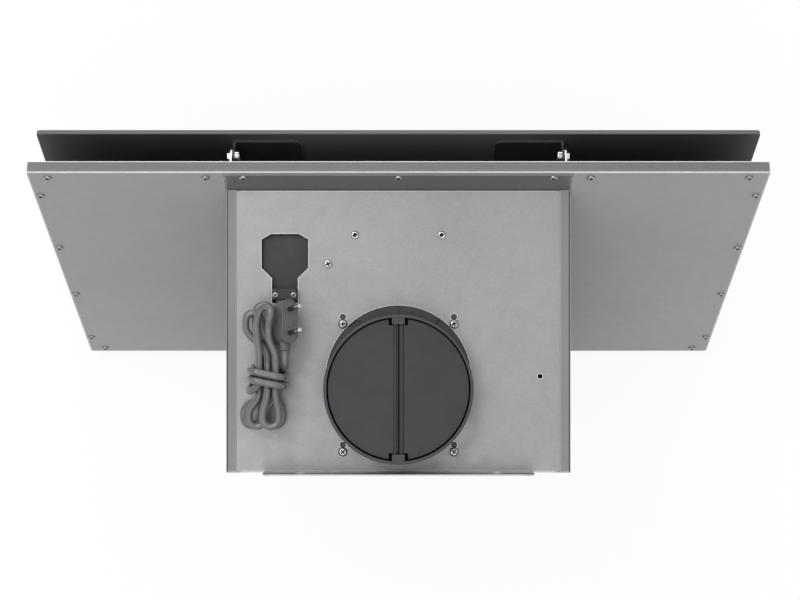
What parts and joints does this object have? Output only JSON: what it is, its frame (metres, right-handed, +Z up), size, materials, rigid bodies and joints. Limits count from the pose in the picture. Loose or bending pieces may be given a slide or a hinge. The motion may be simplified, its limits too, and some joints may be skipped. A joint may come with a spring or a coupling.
{
  "type": "angled wall cooker hood",
  "caption": "Wall cooker hood without chimney cover: motor box with wall flange and duct collar, sloping tray and hinged black glass panel, tied mains lead on top.",
  "frame": {"origin": "midway between the two hanging holes of the wall flange, on the wall plane", "axes": "+Z up, +Y into the wall, +X to the right of someone facing the hood"},
  "size_m": [0.6, 0.2801, 0.3832],
  "materials": {
    "tray_steel": "fine satin powder coat, mid grey",
    "frame_steel": "dark satin coat",
    "galvanised": "galvanised, mottled",
    "bright_screws": "zinc plated",
    "filter_aluminium": "bare, pleated mesh",
    "grey_plastic": "moulded, dark grey",
    "wheel_plastic": "moulded, black",
    "motor_steel": "drawn can",
    "bronze": "sintered bush",
    "black_glass": "black tempered glass, polished",
    "black_plastic": "moulded, black",
    "board": "circuit board",
    "white_plastic": "moulded, off-white",
    "lamp_metal": "satin bezel",
    "lamp_glass": "frosted lens",
    "cord_rubber": "grey sheath",
    "plug_plastic": "moulded, grey",
    "pin_metal": "plated"
  },
  "bodies": {
    "hood": {"back_panel": "galvanised", "blower_bracket": "galvanised", "blower_rivets": "bright_screws", "body_tray": "tray_steel", "bottom_panel": "galvanised", "box_screws": "bright_screws", "capacitor": "white_plastic", "circuit_board": "board", "control_box": "grey_plastic", "control_box_cover": "grey_plastic", "control_box_screw": "bright_screws", "cord_free": "cord_rubber", "cord_gland": "grey_plastic", "cord_hank": "cord_rubber", "cover_screws": "bright_screws", "duct_spigot": "grey_plastic", "filter_frame": "filter_aluminium", "filter_mesh": "filter_aluminium", "frame_screws": "bright_screws", "gland_screws": "bright_screws", "hinge_bracket_left": "tray_steel", "hinge_bracket_right": "tray_steel", "lamp_housing_left": "lamp_metal", "lamp_housing_right": "lamp_metal", "lamp_lens_left": "lamp_glass", "lamp_lens_right": "lamp_glass", "lug_screws": "bright_screws", "magnet_catch_left": "black_plastic", "magnet_catch_right": "black_plastic", "motor": "motor_steel", "motor_bracket": "galvanised", "motor_bushes": "bronze", "pin_sleeves": "black_plastic", "pivot_screws": "bright_screws", "plug_body": "plug_plastic", "plug_pins": "pin_metal", "rear_frame": "frame_steel", "scroll_side_left": "grey_plastic", "scroll_side_right": "grey_plastic", "scroll_wrap": "grey_plastic", "side_panel_left": "galvanised", "side_panel_right": "galvanised", "spigot_screws": "bright_screws", "top_panel": "galvanised", "tray_rail_left": "tray_steel", "tray_rail_right": "tray_steel", "wing_cover_left": "tray_steel", "wing_cover_right": "tray_steel"},
    "glass_door": {"glass_panel": "black_glass", "glass_hinge_plate_left": "tray_steel", "glass_hinge_plate_right": "tray_steel", "catch_keepers": "bright_screws", "touch_module": "black_plastic"},
    "latch": {"filter_latch": "grey_plastic"},
    "flap_left": {"damper_flap_left": "grey_plastic"},
    "flap_right": {"damper_flap_right": "grey_plastic"},
    "wheel": {"impeller": "wheel_plastic", "motor_shaft": "bright_screws"}
  },
  "joints": [
    {"name": "glass_hinge", "type": "hinge", "parent": "hood", "child": "glass_door", "pos_m": [0, -0.25931, -0.01229], "axis": [-1, 0, 0], "range_deg": [0, 70]},
    {"name": "flap_left_hinge", "type": "hinge", "parent": "hood", "child": "flap_left", "pos_m": [-0.0026, -0.0695, 0.01], "axis": [0, 1, 0], "range_deg": [0, 80]},
    {"name": "flap_right_hinge", "type": "hinge", "parent": "hood", "child": "flap_right", "pos_m": [0.0026, -0.0695, 0.01], "axis": [0, -1, 0], "range_deg": [0, 80]},
    {"name": "wheel_spin", "type": "hinge", "parent": "hood", "child": "wheel", "pos_m": [0, -0.098, -0.115], "axis": [1, 0, 0], "continuous": true},
    {"name": "latch_slide", "type": "slide", "parent": "hood", "child": "latch", "axis": [0, 0.4067, -0.9135], "range_m": [0, 0.005], "stiffness_N_per_m": 300, "springref_m": -0.004}
  ]
}
